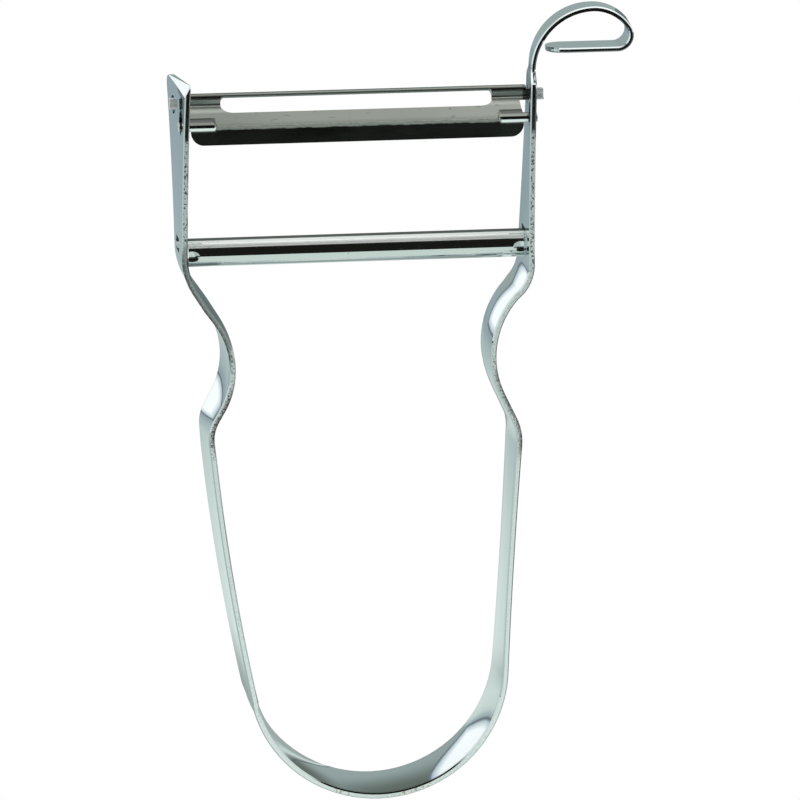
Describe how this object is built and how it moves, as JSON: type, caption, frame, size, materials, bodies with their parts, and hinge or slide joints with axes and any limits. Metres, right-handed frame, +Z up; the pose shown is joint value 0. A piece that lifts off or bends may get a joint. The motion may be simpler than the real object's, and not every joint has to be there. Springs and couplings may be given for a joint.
{
  "type": "vegetable peeler",
  "caption": "All-metal peeler: a bow bent from one plated strip holds a swinging slotted blade and a crossbar, and curls into an eye remover.",
  "frame": {"origin": "middle of the foot of the box around the upright peeler", "axes": "+Z up the handle to the blade end, +X towards the arm with the eye remover, -Y towards the front, where the blade's stops are"},
  "size_m": [0.0668, 0.012, 0.1157],
  "materials": {
    "plated_strip": "bright plated faces, rough sheared edges",
    "plated_bar": "bright plated",
    "blade_steel": "smooth rolled"
  },
  "bodies": {
    "bow": {"bow": "plated_strip", "crossbar": "plated_bar"},
    "blade": {"blade": "blade_steel"}
  },
  "joints": [
    {"name": "blade_swing", "type": "hinge", "parent": "bow", "child": "blade", "pos_m": [0, 0.002, 0.10243], "axis": [-1, 0, 0], "range_deg": [0, 36]}
  ]
}
